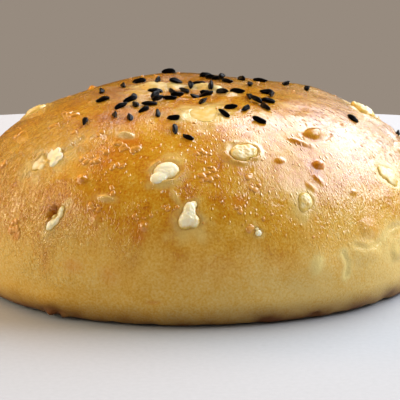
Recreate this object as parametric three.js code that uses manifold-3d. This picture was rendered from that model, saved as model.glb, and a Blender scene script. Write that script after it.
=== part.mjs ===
// A cheese pastry: one round bun of enriched dough, baked flat side down, with lumps of white cheese that
// break through its crust and nigella seeds stuck over its crown by the egg wash.
// Millimetres, +Z up. The origin is the middle of the flat base, and +Y runs from the front to the back.
// Each cheese curd sits in a socket of the crust, and each seed lies on it, with a small gap all round.
import * as THREE from "three";
import { mergeVertices } from "three/addons/utils/BufferGeometryUtils.js";
import Module from "manifold-3d";

// ---- Driving dimensions of the bun ----
const BUN_WIDTH = 100; // across X, at the girth
const BUN_DEPTH = 97; // across Y, at the girth
const BUN_HEIGHT = 42;
const GIRTH_HEIGHT = 12; // height of the widest ring above the base
const BASE_SHARE = 0.9; // the flat base's radius, as a share of the girth's
const DOME_POWER = 2.26; // 2 is an ellipse, and more is flatter on top and fuller at the shoulders
const CROWN_LEAN = -0.5; // how far the crown stands off the middle, along X
const SIDE_RISE = 0.015; // share by which the +X side is higher than the middle
const THREE_LOBE = 0.017; // size of the three soft lobes in the bun's outline, as a share of its radius
const LOBE_TURN = -15; // degrees round to the first lobe
const RIM_POWER = 1.3; // how sharply the flank turns in to the base

const ROUND_STEPS = 80;
const DOME_RINGS = 20;
const FLANK_RINGS = 6;
const GAP = 0.3; // left between touching pieces
const WELD = 0.001; // vertices closer than this are one

const HEART = new THREE.Vector3(0, 0, GIRTH_HEIGHT); // directions to curds and swells start here

// Where the dough stands up over cheese, or sinks, under an unbroken crust.
// Directions in degrees from the heart, width as the half angle, rise in mm.
const SWELLS = [
  { azimuth: 125, elevation: 64, width: 15, rise: 0.7 },
  { azimuth: 20, elevation: 46, width: 9, rise: 0.6 },
  { azimuth: -60, elevation: 0, width: 7, rise: 0.7 },
  { azimuth: -43, elevation: -3, width: 9, rise: 0.8 },
  { azimuth: -114, elevation: 36, width: 6, rise: 0.5 },
  { azimuth: -47, elevation: 34, width: 7, rise: 0.6 },
  { azimuth: -125, elevation: -12, width: 5, rise: 0.6 },
  { azimuth: 70, elevation: 12, width: 10, rise: 0.8 },
  { azimuth: 150, elevation: 5, width: 9, rise: 0.7 },
  { azimuth: -90, elevation: 62, width: 13, rise: -0.5 },
  { azimuth: 165, elevation: 47, width: 10, rise: -0.4 },
  { azimuth: 60, elevation: 62, width: 12, rise: -0.3 },
];

// Cheese curds that break through the crust: width lies level, length runs up the flank, and proud is how
// far the curd stands out of the crust. Directions and turn are in degrees.
const CURDS = [
  { name: "curd_front", azimuth: -91.5, elevation: 13.5, width: 4.2, length: 5.4, proud: 1.2, turn: 12 },
  { name: "curd_front_oval", azimuth: -98.5, elevation: 24, width: 6.6, length: 5.4, proud: 1.0, turn: 20 },
  { name: "curd_left_torn", azimuth: -125, elevation: 11, width: 3.6, length: 6.2, proud: 0.8, turn: -25 },
  { name: "curd_left_crack", azimuth: -136, elevation: 23, width: 6.4, length: 3.8, proud: 0.8, turn: 25 },
  { name: "curd_ringed", azimuth: -75, elevation: 30, width: 5.2, length: 4.6, proud: 0.8, turn: 0 },
  { name: "curd_right_small", azimuth: -61.5, elevation: 15, width: 3.4, length: 3.6, proud: 0.9, turn: 0 },
  { name: "curd_crown", azimuth: -86, elevation: 49, width: 8.2, length: 6.6, proud: 0.5, turn: 5 },
  { name: "curd_crumb", azimuth: -75, elevation: 9, width: 2.2, length: 3.0, proud: 0.6, turn: 10 },
  { name: "curd_right_shoulder", azimuth: 5, elevation: 32, width: 6.6, length: 6.4, proud: 1.3, turn: 0 },
  { name: "curd_left_shoulder", azimuth: 173, elevation: 33, width: 6.0, length: 5.6, proud: 1.1, turn: 0 },
  { name: "curd_right_edge", azimuth: -32, elevation: 16.5, width: 5.4, length: 4.2, proud: 0.8, turn: -30 },
  { name: "curd_back_left", azimuth: 132, elevation: 20, width: 5.6, length: 4.6, proud: 0.9, turn: 35 },
  { name: "curd_back", azimuth: 96, elevation: 33, width: 6.2, length: 5.0, proud: 1.0, turn: -15 },
  { name: "curd_back_right", azimuth: 52, elevation: 16, width: 4.4, length: 5.6, proud: 1.0, turn: 10 },
];
const CURD_THICKNESS = 0.7; // a curd's depth into the dough, as a share of its mean width
const CURD_FINENESS = 2;
const CURD_LUMP = 0.07; // how uneven a curd is, as a share of its half width

// ---- Nigella seeds ----
const SEED_LENGTH = 2.8;
const SEED_RADIUS = 0.66;
const SEED_SIDES = 5; // the seed is angular in section
// A seed's outline from tail to tip: [share of the radius, share of the half length].
const SEED_OUTLINE = [
  [0, -1],
  [0.62, -0.72],
  [1, -0.1],
  [0.86, 0.5],
  [0.42, 0.88],
  [0, 1],
];
// One entry for each seed: [x, y, heading of its long axis in degrees from +X].
const SEEDS = [
  // scattered down the left of the crown
  [-19, -12.5, 15], [-22, -22, 80], [-19.5, -5, 90], [-15, -3, 100], [-12, 0.5, 0],
  [-15, -18.5, 35], [-16, -22.5, 90], [-13.5, -15.5, 25], [-12, -18.5, -70], [-13, -24.5, 95],
  // the thick patch left of the middle
  [-9.5, -18.5, 0], [-10.5, -21.5, 40], [-7.5, -23.5, 90], [-8.5, -10.5, 0], [-5.5, -15.5, 5],
  [-8, -0.5, 70], [-5, -10.5, -65], [-2.5, -10, -50], [-4, -13.5, 0], [-1, -7.5, 90],
  [0, -13.5, -5], [2, -11.5, 10], [1.5, -17.5, 60],
  // stragglers down the front
  [-4.5, -26, 0], [-4, -29.5, -85], [-1.5, -32, -35], [5.5, -24, -40], [12.5, -25, -20],
  // right of the middle
  [5.5, -11.5, -40], [8.5, -10.5, -15], [11, -13.5, -80], [7, -20.5, 10], [10, -21, 60],
  [14.5, -9.5, 5], [14.5, -15, -15], [14, -18.5, -55],
  // over the crown and down the far side
  [-6, 10, 20], [2, 5.5, 10], [4.5, 1, 15], [6.5, -2, -40], [9.5, 3, -60], [13.5, 3, -15],
  // far out on the right
  [19, 3, 60], [23.5, 2, 85], [32, -11.5, -30],
];

const DOUGH = new THREE.MeshStandardMaterial({ color: 0xcd9237, roughness: 0.4, metalness: 0 });
const CHEESE = new THREE.MeshStandardMaterial({ color: 0xeadfb8, roughness: 0.45, metalness: 0 });
const SEED = new THREE.MeshStandardMaterial({ color: 0x14110f, roughness: 0.5, metalness: 0 });

const wasm = await Module();
wasm.setup();

const radians = THREE.MathUtils.degToRad;

/** A unit vector from an azimuth, in degrees from +X, and an elevation above the level, in degrees. */
function direction(azimuth, elevation) {
  const level = Math.cos(radians(elevation));
  return new THREE.Vector3(
    level * Math.cos(radians(azimuth)),
    level * Math.sin(radians(azimuth)),
    Math.sin(radians(elevation)),
  );
}

/** The section from the middle of the base, round the flank and up to the crown. The girth is at radius 1. */
function section() {
  const points = [new THREE.Vector2(0, 0)];
  for (let i = 0; i < FLANK_RINGS; i++) {
    const a = (Math.PI / 2) * (1 - i / FLANK_RINGS);
    points.push(
      new THREE.Vector2(
        BASE_SHARE + (1 - BASE_SHARE) * Math.cos(a),
        GIRTH_HEIGHT * (1 - Math.sin(a) ** RIM_POWER),
      ),
    );
  }
  for (let i = 0; i <= DOME_RINGS; i++) {
    const a = (Math.PI / 2) * (i / DOME_RINGS);
    const height = (BUN_HEIGHT - GIRTH_HEIGHT) * Math.sin(a) ** (2 / DOME_POWER);
    const radius = i === DOME_RINGS ? 0 : Math.cos(a) ** (2 / DOME_POWER);
    points.push(new THREE.Vector2(radius, GIRTH_HEIGHT + height));
  }
  return points;
}

/** Moves a point of the plain turned form to its place on the bun, which leans and has lobes and swells. */
function placeOnBun(point) {
  const around = Math.atan2(point.y, point.x);
  const outline = 1 + THREE_LOBE * Math.cos(3 * (around - radians(LOBE_TURN)));
  const height = point.z;
  point.z = height * (1 + SIDE_RISE * point.x);
  point.x = point.x * outline * (BUN_WIDTH / 2) + CROWN_LEAN * (height / BUN_HEIGHT);
  point.y = point.y * outline * (BUN_DEPTH / 2);
  const outward = point.clone().sub(HEART).normalize();
  const clearOfBase = THREE.MathUtils.smoothstep(height, 0, GIRTH_HEIGHT / 2);
  for (const swell of SWELLS) {
    const angle = outward.angleTo(direction(swell.azimuth, swell.elevation));
    const share = Math.exp(-((angle / radians(swell.width)) ** 2));
    point.addScaledVector(outward, swell.rise * share * clearOfBase);
  }
  return point;
}

/** The bun before its sockets are cut. */
function bunGeometry() {
  const geometry = new THREE.LatheGeometry(section(), ROUND_STEPS).rotateX(Math.PI / 2);
  const position = geometry.getAttribute("position");
  const point = new THREE.Vector3();
  for (let i = 0; i < position.count; i++) {
    placeOnBun(point.fromBufferAttribute(position, i));
    position.setXYZ(i, point.x, point.y, point.z);
  }
  geometry.computeVertexNormals();
  return geometry;
}

/** A closed geometry as a manifold-3d solid. */
function solidOf(geometry) {
  const bare = geometry.clone();
  bare.deleteAttribute("normal");
  bare.deleteAttribute("uv");
  const merged = mergeVertices(bare, WELD);
  return new wasm.Manifold(
    new wasm.Mesh({
      numProp: 3,
      vertProperties: new Float32Array(merged.getAttribute("position").array),
      triVerts: new Uint32Array(merged.index.array),
    }),
  );
}

/** A manifold-3d solid as a geometry. */
function geometryOf(solid) {
  const mesh = solid.getMesh();
  const positions = new Float32Array(mesh.numVert * 3);
  for (let i = 0; i < mesh.numVert; i++) {
    positions.set(mesh.vertProperties.subarray(i * mesh.numProp, i * mesh.numProp + 3), i * 3);
  }
  const geometry = new THREE.BufferGeometry();
  geometry.setAttribute("position", new THREE.BufferAttribute(positions, 3));
  geometry.setIndex(new THREE.BufferAttribute(mesh.triVerts, 1));
  geometry.computeVertexNormals();
  return geometry;
}

/** Where a ray first meets the crust, with the crust's normal there. */
function crustHit(bun, from, towards) {
  const [hit] = new THREE.Raycaster(from, towards).intersectObject(bun);
  return { point: hit.point, normal: hit.face.normal.clone() };
}

/** Axes on the crust: x along the heading, z out of the crust. */
function crustAxes(normal, heading) {
  const x = heading.clone().addScaledVector(normal, -heading.dot(normal)).normalize();
  const y = normal.clone().cross(x);
  return new THREE.Matrix4().makeBasis(x, y, normal);
}

/** One cheese curd, or with grow over 0 the socket that it needs. Its direction also varies its lumps. */
function curdGeometry(bun, curd, grow) {
  const outward = direction(curd.azimuth, curd.elevation);
  const outside = HEART.clone().addScaledVector(outward, BUN_WIDTH);
  const { point, normal } = crustHit(bun, outside, outward.clone().negate());
  const depth = (CURD_THICKNESS * (curd.width + curd.length)) / 2;
  const geometry = new THREE.IcosahedronGeometry(1, CURD_FINENESS);
  const position = geometry.getAttribute("position");
  const p = new THREE.Vector3();
  for (let i = 0; i < position.count; i++) {
    p.fromBufferAttribute(position, i);
    const lump = 1 + CURD_LUMP * (Math.sin(3 * p.x + curd.azimuth) + Math.cos(4 * p.y + curd.elevation));
    position.setXYZ(
      i,
      p.x * ((curd.width / 2) * lump + grow),
      p.y * ((curd.length / 2) * lump + grow),
      p.z * (depth / 2 + grow),
    );
  }
  const level = new THREE.Vector3(0, 0, 1).cross(normal).normalize();
  const heading = level.applyAxisAngle(normal, radians(curd.turn));
  const centre = point.addScaledVector(normal, curd.proud - depth / 2);
  return geometry.applyMatrix4(crustAxes(normal, heading).setPosition(centre));
}

/** An angular seed, thickest past its middle and tapering to both ends, along X. */
function seedGeometry() {
  const points = SEED_OUTLINE.map(
    ([radius, along]) => new THREE.Vector2(radius * SEED_RADIUS, along * (SEED_LENGTH / 2)),
  );
  return new THREE.LatheGeometry(points, SEED_SIDES).rotateZ(-Math.PI / 2);
}

/** A seed lying on the crust. */
function makeSeed(bun, index, [x, y, heading]) {
  const above = new THREE.Vector3(x, y, 2 * BUN_HEIGHT);
  const { point, normal } = crustHit(bun, above, new THREE.Vector3(0, 0, -1));
  const mesh = new THREE.Mesh(seedGeometry(), SEED);
  mesh.name = `seed_${String(index + 1).padStart(2, "0")}`;
  mesh.quaternion.setFromRotationMatrix(crustAxes(normal, direction(heading, 0)));
  mesh.position.copy(point).addScaledVector(normal, SEED_RADIUS + GAP);
  return mesh;
}

/** The bun with its sockets, curds and seeds, stood on the middle of its base. */
function makePastry() {
  const pastry = new THREE.Group();
  const whole = new THREE.Mesh(bunGeometry(), DOUGH);
  let crust = solidOf(whole.geometry);
  for (const curd of CURDS) {
    crust = crust.subtract(solidOf(curdGeometry(whole, curd, GAP)));
    const mesh = new THREE.Mesh(curdGeometry(whole, curd, 0), CHEESE);
    mesh.name = curd.name;
    pastry.add(mesh);
  }
  SEEDS.forEach((seed, index) => pastry.add(makeSeed(whole, index, seed)));
  const bun = new THREE.Mesh(geometryOf(crust), DOUGH);
  bun.name = "bun";
  pastry.add(bun);
  const box = new THREE.Box3().setFromObject(pastry, true);
  const middle = box.getCenter(new THREE.Vector3());
  pastry.position.set(-middle.x, -middle.y, -box.min.z);
  return pastry;
}

const root = new THREE.Group();
root.add(makePastry());

export default root;
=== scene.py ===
"""A cheese pastry: an egg-washed bun with white cheese breaking through its crust and nigella seeds on top.

The bun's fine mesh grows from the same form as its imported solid, and every curd and seed takes its place
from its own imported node. Lengths are in metres, and MM turns a size in millimetres into one.
"""

import logging
import math
import random
from dataclasses import dataclass, field
from enum import Enum

import bpy
import numpy as np
from mathutils import Matrix, Vector, noise


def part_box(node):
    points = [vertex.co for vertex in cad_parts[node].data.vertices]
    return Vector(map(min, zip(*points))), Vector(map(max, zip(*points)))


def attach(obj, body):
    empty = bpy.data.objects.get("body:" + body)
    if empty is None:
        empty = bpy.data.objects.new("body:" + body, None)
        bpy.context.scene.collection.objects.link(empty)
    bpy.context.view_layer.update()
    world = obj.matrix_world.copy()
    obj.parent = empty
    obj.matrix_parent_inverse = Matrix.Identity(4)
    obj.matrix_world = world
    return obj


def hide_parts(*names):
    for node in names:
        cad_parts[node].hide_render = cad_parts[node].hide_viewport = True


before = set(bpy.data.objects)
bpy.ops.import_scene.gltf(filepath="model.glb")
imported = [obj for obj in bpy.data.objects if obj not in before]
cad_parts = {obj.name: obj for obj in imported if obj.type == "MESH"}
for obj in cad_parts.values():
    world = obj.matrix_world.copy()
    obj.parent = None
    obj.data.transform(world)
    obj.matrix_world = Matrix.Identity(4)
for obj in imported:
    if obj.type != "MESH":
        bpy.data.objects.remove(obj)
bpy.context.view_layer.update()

MM = 0.001
BODY = "root"
LOG = logging.getLogger("cheese_pastry")
Wire = bpy.types.NodeSocket


class Slot(Enum):
    """The material slots."""

    CRUST = "crust"
    CHEESE = "cheese"
    SEED = "seed"


class Shape(Enum):
    """The small shapes that are scattered, with their segments round and along."""

    SEED = (15, 14)
    BLISTER = (10, 7)


# Helpers for nodes and meshes


def linear(hex_colour: str) -> tuple[float, float, float, float]:
    """Turns an sRGB colour into the linear one that shaders take.

    Args:
        hex_colour: Six hex digits after a #.

    Returns:
        Linear red, green and blue, and an alpha of 1.
    """
    parts = [int(hex_colour[i : i + 2], 16) / 255 for i in (1, 3, 5)]
    red, green, blue = (c / 12.92 if c <= 0.04045 else ((c + 0.055) / 1.055) ** 2.4 for c in parts)
    return red, green, blue, 1.0


class Graph:
    """A node tree, with short ways to add its nodes."""

    def __init__(self, tree: bpy.types.NodeTree) -> None:
        """Takes the tree that the nodes go in."""
        self.tree = tree

    def add(self, kind: str, inputs: dict | None = None, **settings: object) -> bpy.types.Node:
        """Adds a node with its settings and links.

        Args:
            kind: The node's type.
            inputs: Socket name, identifier or number to a value, or to a node's output, which is linked.
            settings: The node's own properties.

        Returns:
            The new node.
        """
        node = self.tree.nodes.new(kind)
        for name, value in settings.items():
            setattr(node, name, value)
        for key, value in (inputs or {}).items():
            if isinstance(key, int):
                socket = node.inputs[key]
            else:
                socket = next(s for s in node.inputs if key in (s.identifier, s.name) and s.enabled)
            if isinstance(value, Wire):
                self.tree.links.new(value, socket)
            else:
                socket.default_value = value
        return node

    def maths(self, operation: str, *values: Wire | float) -> Wire:
        """One arithmetic step."""
        return self.add("ShaderNodeMath", dict(enumerate(values)), operation=operation).outputs[0]

    def attribute(self, name: str, output: str = "Fac") -> Wire:
        """What is stored on the mesh under a name."""
        return self.add("ShaderNodeAttribute", attribute_name=name).outputs[output]

    def noise(self, place: Wire, size: float, detail: float, distortion: float = 0.0) -> Wire:
        """Noise whose largest lumps are size apart."""
        inputs = {"Vector": place, "Scale": 1 / size, "Detail": detail, "Distortion": distortion}
        return self.add("ShaderNodeTexNoise", inputs).outputs["Fac"]

    def centred(self, place: Wire, size: float, detail: float, strength: float) -> Wire:
        """Noise about zero, scaled by its strength."""
        return self.maths("MULTIPLY", self.maths("SUBTRACT", self.noise(place, size, detail), 0.5), strength)

    def cells(self, place: Wire, size: float, randomness: float, feature: str) -> Wire:
        """A distance in cells that are size apart."""
        inputs = {"Vector": place, "Scale": 1 / size, "Randomness": randomness}
        return self.add("ShaderNodeTexVoronoi", inputs, feature=feature).outputs["Distance"]

    def ranged(self, value: Wire, source: tuple[float, float] = (0.0, 1.0),
               target: tuple[float, float] = (0.0, 1.0), kind: str = "LINEAR") -> Wire:
        """Maps one range of a value to another.

        Args:
            value: The value.
            source: The range that it has.
            target: The range that it gets.
            kind: How it goes from one end to the other.

        Returns:
            The mapped value.
        """
        ends = {"From Min": source[0], "From Max": source[1], "To Min": target[0], "To Max": target[1]}
        node = self.add("ShaderNodeMapRange", {"Value": value, **ends}, interpolation_type=kind)
        return node.outputs["Result"]

    def ramp(self, factor: Wire, *stops: tuple[float, str]) -> Wire:
        """Runs a colour through stops.

        Args:
            factor: How far along the ramp it is.
            stops: Each stop's position and sRGB colour.

        Returns:
            The colour.
        """
        node = self.add("ShaderNodeValToRGB", {"Fac": factor})
        elements = node.color_ramp.elements
        for _ in range(len(stops) - len(elements)):
            elements.new(0.5)
        for element, (position, shade) in zip(elements, stops):
            element.position = position
            element.color = linear(shade)
        return node.outputs["Color"]

    def bump(self, height: Wire, distance: float, strength: float = 1.0, invert: bool = False) -> Wire:
        """A normal tilted by a height."""
        inputs = {"Strength": strength, "Distance": distance, "Height": height}
        return self.add("ShaderNodeBump", inputs, invert=invert).outputs["Normal"]

    def surface(self, inputs: dict) -> None:
        """Adds the shader with its inputs, and the output."""
        shader = self.add("ShaderNodeBsdfPrincipled", inputs)
        self.add("ShaderNodeOutputMaterial", {"Surface": shader.outputs[0]})


def new_material(name: str) -> tuple[bpy.types.Material, Graph, Wire]:
    """Makes an empty material.

    Args:
        name: Its name.

    Returns:
        The material, its graph and its object coordinates.
    """
    material = bpy.data.materials.new(name)
    material.use_nodes = True
    material.node_tree.nodes.clear()
    graph = Graph(material.node_tree)
    return material, graph, graph.add("ShaderNodeTexCoord").outputs["Object"]


def mesh_object(name: str, points: np.ndarray, faces: list | np.ndarray) -> bpy.types.Object:
    """Makes a smooth-shaded mesh object at the origin.

    Args:
        name: The object's name.
        points: One row for each vertex.
        faces: Vertex numbers of each face, in order round it.

    Returns:
        The object, linked to the scene.
    """
    mesh = bpy.data.meshes.new(name)
    mesh.from_pydata([tuple(p) for p in np.asarray(points, float)], [], [tuple(map(int, f)) for f in faces])
    mesh.update()
    mesh.shade_smooth()
    thing = bpy.data.objects.new(name, mesh)
    bpy.context.scene.collection.objects.link(thing)
    return thing


def store(mesh: bpy.types.Mesh, name: str, values: np.ndarray | list) -> None:
    """Stores one number or vector for each vertex.

    Args:
        mesh: The mesh.
        name: What the values are called.
        values: One number or one row for each vertex.
    """
    values = np.array(values, np.float32)
    kind, key = ("FLOAT", "value") if values.ndim == 1 else ("FLOAT_VECTOR", "vector")
    mesh.attributes.new(name, kind, "POINT").data.foreach_set(key, values.ravel())


def vertex_vectors(mesh: bpy.types.Mesh, name: str = "co") -> np.ndarray:
    """Reads a vector of every vertex.

    Args:
        mesh: The mesh.
        name: Either co for the places or normal for the normals.

    Returns:
        One row for each vertex.
    """
    flat = np.empty(len(mesh.vertices) * 3, np.float32)
    mesh.vertices.foreach_get(name, flat)
    return flat.reshape(-1, 3).astype(float)


def node_points(node: str) -> np.ndarray:
    """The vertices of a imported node, one row each, in the row frame."""
    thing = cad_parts[node]
    world = np.array(thing.matrix_world)
    return vertex_vectors(thing.data) @ world[:3, :3].T + world[:3, 3]


def unit(vectors: np.ndarray) -> np.ndarray:
    """Each row at a length of 1."""
    return vectors / np.linalg.norm(vectors, axis=1, keepdims=True)


def direction(azimuth: float, elevation: float) -> np.ndarray:
    """The unit vector at an azimuth from +X and an elevation above the level, both in degrees."""
    a, e = math.radians(azimuth), math.radians(elevation)
    return np.array([math.cos(e) * math.cos(a), math.cos(e) * math.sin(a), math.sin(e)])


def smooth(low: float, high: float, value: np.ndarray) -> np.ndarray:
    """A smooth step from 0 at low to 1 at high."""
    t = np.clip((value - low) / (high - low), 0.0, 1.0)
    return t * t * (3 - 2 * t)


def bell(value: np.ndarray, middle: float, width: float) -> np.ndarray:
    """A smooth peak of height 1."""
    return np.exp(-(((value - middle) / width) ** 2))


def rough_field(points: np.ndarray, size: float, octaves: int = 3, shift: float = 0.0) -> np.ndarray:
    """Smooth random values over space.

    Args:
        points: Where the values are wanted, one row each.
        size: How far apart the largest lumps are.
        octaves: How many finer layers are added, each half as wide and half as strong.
        shift: Moves the pattern, so that two fields of one size differ.

    Returns:
        A value for each point, mostly between -1 and 1.
    """
    scaled = points / size + shift
    return np.array([noise.fractal(Vector(p), 1.0, 2.0, octaves) for p in scaled])


def finish_piece(piece: bpy.types.Object, slot: Slot, replaced: list[str] | None = None) -> None:
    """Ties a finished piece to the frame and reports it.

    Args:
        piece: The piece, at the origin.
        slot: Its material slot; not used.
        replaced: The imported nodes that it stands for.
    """
    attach(piece, BODY)
    if replaced:
        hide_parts(*replaced)
    LOG.info("%s: %d vertices, %d faces", piece.name, len(piece.data.vertices), len(piece.data.polygons))


# Finishes


@dataclass(frozen=True)
class Crust:
    """Baked crust of an enriched dough, brushed with egg.

    The egg sets to a thin brown varnish, wrinkled like leather where the dough rose under it. It gives the
    eye a glossy golden orange, deepest on the crown, that pales to dull straw near the base, where no egg
    reached. Heights are in millimetres. Blotch, mottle, streak, speck and fleck each hold a size, a number
    of octaves and a strength.
    """

    tones: tuple[tuple[float, str], ...] = (
        (0.0, "#dfbe70"), (0.3, "#d8a845"), (0.58, "#ca911f"), (0.82, "#c07913"), (1.0, "#a86311")
    )  # from raw dough by straw, golden and orange to scorched
    stretched: str = "#e2cc80"
    # red tint: the crust's own redder baking, and painted shade in grooves, hollows, round rises and along
    # curds
    blush: str = "#cc6f18"
    # dark brown of the base, which also runs up the foot as painted contact shade
    underside_and_foot_shade: str = "#6b3d14"
    refraction: float = 1.5
    specular: float = 0.3
    varnish_refraction: float = 1.52
    varnish_roughness: float = 0.05
    bare_varnish: float = 0.16
    bare_patchiness: float = 0.35
    bleed_share: float = 0.06
    bleed_colour: tuple[float, float, float] = (1.0, 0.5, 0.2)
    bleed: float = 0.9 * MM
    gloss_roughness: float = 0.11
    dull_roughness: float = 0.75
    wrinkle: float = 0.5 * MM
    wrinkle_height: float = 0.08
    # how much paler wrinkle crests are painted than their valleys: painted light and shade
    wrinkle_painted_shade: float = -0.14
    bead: float = 1.0 * MM
    bead_profile: tuple[float, float] = (0.28, 0.0)
    bead_heights: tuple[float, float] = (0.06, 0.2)
    bead_patch: float = 7 * MM
    bead_patch_edge: tuple[float, float] = (0.35, 0.6)
    grain: float = 0.42 * MM
    grain_height: float = 0.08
    glazed_grain: float = 0.012
    blotch: tuple[float, int, float] = (12 * MM, 3, 0.7)
    mottle: tuple[float, int, float] = (2.8 * MM, 3, 0.6)
    streak: tuple[float, int, float] = (3.2 * MM, 4, 0.55)
    speck: tuple[float, int, float] = (0.45 * MM, 2, 0.32)
    fleck: tuple[float, int, float] = (0.45 * MM, 2, 0.75)

    def material(self) -> bpy.types.Material:
        """Builds the crust, which reads its masks and its flow from the mesh.

        Returns:
            The material.
        """
        material, graph, place = new_material("egg_washed_crust")
        flow = graph.attribute("flow", "Vector")
        glaze = graph.attribute("glaze")
        folds = self._folds(graph, flow)
        relief = self._relief(graph, place, flow, glaze, folds)
        graph.surface({
            "Base Color": self._colour(graph, place, flow, glaze, folds),
            "Roughness": graph.ranged(glaze, target=(self.dull_roughness, self.gloss_roughness)),
            "IOR": self.refraction,
            "Specular IOR Level": self.specular,
            "Subsurface Weight": self.bleed_share,
            "Subsurface Radius": self.bleed_colour,
            "Subsurface Scale": self.bleed,
            "Coat Weight": graph.ranged(glaze, target=(self.bare_varnish, 1.0)),
            "Coat Roughness": self.varnish_roughness,
            "Coat IOR": self.varnish_refraction,
            "Normal": relief,
            "Coat Normal": relief,
        })
        return material

    def _folds(self, graph: Graph, flow: Wire) -> Wire:
        """Builds the fine wrinkles that run down the slope.

        Args:
            graph: The material's graph.
            flow: Coordinates that run down the slope.

        Returns:
            Their height: 1 along a crest where the crust wrinkles fully.
        """
        steep = graph.maths("MULTIPLY_ADD", graph.noise(flow, self.wrinkle, 2, 0.8), 5.0, -2.5)
        ridges = graph.maths("SUBTRACT", 1.0, graph.maths("ABSOLUTE", steep))
        return graph.maths("MULTIPLY", ridges, graph.attribute("wrinkle"))

    def _colour(self, graph: Graph, place: Wire, flow: Wire, glaze: Wire, folds: Wire) -> Wire:
        """Builds the crust's colour from how far it is baked, reddened and stretched; part of the red, the
        dark foot and the wrinkle tones are painted shade and light.

        Args:
            graph: The material's graph.
            place: Object coordinates.
            flow: Coordinates that run down the slope.
            glaze: How much egg lies there.
            folds: The fine wrinkles, whose crests are painted paler and valleys darker, as painted light and
                shade.

        Returns:
            The colour.
        """
        patchy = graph.centred(place, *self.speck)
        for where, layer in ((place, self.blotch), (place, self.mottle), (flow, self.streak)):
            patchy = graph.maths("ADD", patchy, graph.centred(where, *layer))
        share = graph.ranged(glaze, target=(self.bare_patchiness, 1.0))
        toned = graph.maths("MULTIPLY_ADD", patchy, share, graph.attribute("bake"))
        # wrinkle crests are painted paler than their valleys as painted light and shade; the flecks are the
        # crust's own specks
        fold_shade_and_flecks = graph.maths("MULTIPLY_ADD", folds, self.wrinkle_painted_shade, graph.centred(place, *self.fleck))
        colour = graph.ramp(graph.maths("ADD", toned, fold_shade_and_flecks), *self.tones)
        # the red tint is partly painted shade, and the dark base colour runs up the foot as painted contact
        # shade
        for name, shade in (("blush", self.blush), ("pale", self.stretched), ("underside_and_foot_shade", self.underside_and_foot_shade)):
            inputs = {"Factor_Float": graph.attribute(name), "A_Color": colour, "B_Color": linear(shade)}
            mix = graph.add("ShaderNodeMix", inputs, data_type="RGBA")
            colour = next(socket for socket in mix.outputs if socket.enabled)
        return colour

    def _relief(self, graph: Graph, place: Wire, flow: Wire, glaze: Wire, folds: Wire) -> Wire:
        """Builds the leathery beads and wrinkles of the set egg and the finer grain of bare dough.

        Args:
            graph: The material's graph.
            place: Object coordinates.
            flow: Coordinates that run down the slope.
            glaze: How much egg lies there.
            folds: The fine wrinkles.

        Returns:
            The bumped normal.
        """
        beads = graph.ranged(graph.cells(flow, self.bead, 1.0, "F1"), self.bead_profile, kind="SMOOTHSTEP")
        patches = graph.noise(place, self.bead_patch, 1)
        strewn = graph.ranged(patches, self.bead_patch_edge, self.bead_heights)
        glazed = graph.maths("MULTIPLY", graph.maths("MULTIPLY", beads, strewn), graph.attribute("beaded"))
        folded = graph.maths("MULTIPLY", folds, self.wrinkle_height)
        bare = graph.maths("MULTIPLY_ADD", glaze, self.glazed_grain - self.grain_height, self.grain_height)
        grained = graph.maths("MULTIPLY", graph.noise(place, self.grain, 3), bare)
        return graph.bump(graph.maths("ADD", graph.maths("ADD", glazed, folded), grained), 1 * MM)


@dataclass(frozen=True)
class Curd:
    """White brined cheese, softened in the oven: moist, with light bleeding through its edges."""

    tones: tuple[tuple[float, str], ...] = ((0.45, "#f3e8c6"), (1.0, "#dab65c"))  # white to creamy
    refraction: float = 1.45
    roughness: float = 0.32
    moisture: float = 0.35
    moist_roughness: float = 0.15
    grain: float = 1.6 * MM
    grain_depth: float = 0.15 * MM
    bleed_share: float = 0.6
    bleed_colour: tuple[float, float, float] = (1.0, 0.8, 0.45)
    bleed: float = 1.8 * MM

    def material(self) -> bpy.types.Material:
        """Builds the cheese, which reads how creamy it is from the mesh.

        Returns:
            The material.
        """
        material, graph, place = new_material("baked_white_cheese")
        lumps = graph.noise(place, self.grain, 3)
        toned = graph.maths("ADD", lumps, graph.attribute("cream"))
        graph.surface({
            "Base Color": graph.ramp(toned, *self.tones),
            "Roughness": self.roughness,
            "IOR": self.refraction,
            "Subsurface Weight": self.bleed_share,
            "Subsurface Radius": self.bleed_colour,
            "Subsurface Scale": self.bleed,
            "Coat Weight": self.moisture,
            "Coat Roughness": self.moist_roughness,
            "Normal": graph.bump(lumps, self.grain_depth, 0.2),
        })
        return material


@dataclass(frozen=True)
class SeedCoat:
    """Nigella seed coat: dry, nearly black and finely netted, so its ridges catch small cool highlights."""

    tones: tuple[tuple[float, str], ...] = ((0.0, "#080709"), (0.3, "#020202"))  # charcoal to black
    refraction: float = 1.45
    specular: float = 0.06
    roughness: float = 0.34
    net: float = 0.32 * MM
    net_depth: float = 0.06 * MM

    def material(self) -> bpy.types.Material:
        """Builds the seed coat.

        Returns:
            The material.
        """
        material, graph, place = new_material("nigella_seed_coat")
        net = graph.cells(place, self.net, 0.9, "DISTANCE_TO_EDGE")
        graph.surface({
            "Base Color": graph.ramp(net, *self.tones),
            "Roughness": self.roughness,
            "IOR": self.refraction,
            "Specular IOR Level": self.specular,
            "Normal": graph.bump(net, self.net_depth, 0.5, invert=True),
        })
        return material


# The bun


@dataclass(frozen=True)
class Spot:
    """A rounded rise or hollow of the crust.

    Directions are in degrees from the bun's heart, and sizes are in millimetres: wide lies level, tall runs
    up the flank, and rise stands out of the crust. The shares are how much paler or redder it is than the
    crust round it; the red share is partly painted shade, in a ring round the foot of a rise and inside a
    hollow. Round is the power of its profile: the lower, the steeper its edge.
    """

    azimuth: float
    elevation: float
    wide: float
    tall: float
    rise: float
    turn: float = 0.0
    pale: float = 0.0
    blush: float = 0.0
    round: float = 1.3


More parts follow.
